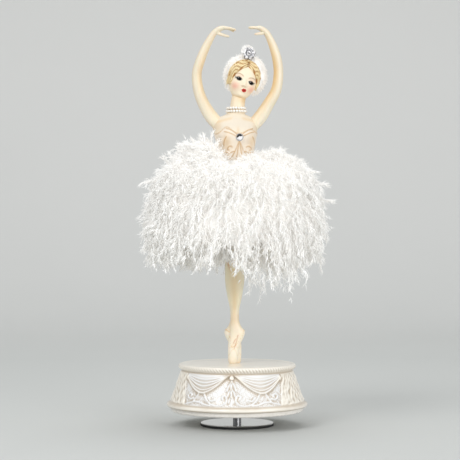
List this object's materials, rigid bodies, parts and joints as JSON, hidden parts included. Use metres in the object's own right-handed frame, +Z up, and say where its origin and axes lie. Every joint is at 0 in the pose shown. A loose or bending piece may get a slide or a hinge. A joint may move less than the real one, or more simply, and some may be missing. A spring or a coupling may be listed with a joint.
{
  "type": "musical ballerina figurine",
  "caption": "Ballerina in a white feather tutu on a round relief base that turns on a chromed foot disc, with a clockwork musical movement inside.",
  "frame": {"origin": "centre of the foot pad's underside, on the axis that the base turns about", "axes": "+Z up along the turning axis, -Y the way that the dancer faces, +X to the viewer's right"},
  "size_m": [0.127, 0.127, 0.2808],
  "materials": {
    "pad_rubber": "matt black rubber",
    "chrome": "bright chromium plate",
    "dark_steel": "blackened steel",
    "brass": "machined brass",
    "steel": "plain turned steel",
    "spring_steel": "tempered spring steel",
    "zinc": "die-cast light metal",
    "fan_plastic": "moulded plastic",
    "pearl_resin": "cast resin with a pearl lacquer",
    "bodice_resin": "cast resin, cream satin paint",
    "skin_resin": "cast resin, skin-coloured paint",
    "feather": "white ostrich feather",
    "ribbon": "white woven ribbon",
    "pearl": "pearl-coated beads",
    "crystal": "cut glass",
    "silver": "silver plate"
  },
  "bodies": {
    "foot": {"foot_pad": "pad_rubber", "foot_disc": "chrome", "foot_hub": "dark_steel", "winding_shaft": "dark_steel", "drive_gear": "brass"},
    "figurine": {"base_cover": "pearl_resin", "base_shell": "pearl_resin", "cover_screws": "steel", "movement_frame": "zinc", "movement_screws": "steel", "spring_housing": "zinc", "housing_screws": "steel", "mainspring": "spring_steel", "comb": "spring_steel", "comb_screws": "steel", "governor_bracket": "brass", "bracket_screw": "steel", "armature_rod": "steel", "rod_washer": "steel", "rod_nut": "steel", "legs": "skin_resin", "torso": "bodice_resin", "arm_left": "skin_resin", "arm_right": "skin_resin", "head": "skin_resin", "headdress": "feather", "tiara": "silver", "tiara_stones": "crystal", "pearl_choker": "pearl", "crystal_setting": "silver", "bodice_crystal": "crystal", "waist_band": "ribbon", "feather_row_upper": "feather", "feather_row_lower": "feather"},
    "cylinder": {"cylinder": "brass", "cylinder_arbor": "steel", "cylinder_pinion": "brass", "cylinder_gear": "brass"},
    "idler": {"idler_arbor": "steel", "idler_pinion": "brass", "worm_wheel": "brass"},
    "governor": {"worm_shaft": "steel", "air_brake_fan": "fan_plastic"}
  },
  "joints": [
    {"name": "turntable_spin", "type": "hinge", "parent": "foot", "child": "figurine", "pos_m": [0, 0, 0], "axis": [0, 0, 1], "continuous": true},
    {"name": "cylinder_spin", "type": "hinge", "parent": "figurine", "child": "cylinder", "pos_m": [0.02, 0, 0.0252], "axis": [1, 0, 0], "continuous": true},
    {"name": "idler_spin", "type": "hinge", "parent": "figurine", "child": "idler", "pos_m": [0.028, 0.009, 0.0252], "axis": [1, 0, 0], "continuous": true},
    {"name": "governor_spin", "type": "hinge", "parent": "figurine", "child": "governor", "pos_m": [0.0308, 0.0156, 0.0252], "axis": [0, 0, 1], "continuous": true}
  ],
  "couplings": [
    {"joint": "cylinder_spin", "follows": "turntable_spin", "ratio": -3},
    {"joint": "idler_spin", "follows": "turntable_spin", "ratio": 12},
    {"joint": "governor_spin", "follows": "turntable_spin", "ratio": -288}
  ]
}
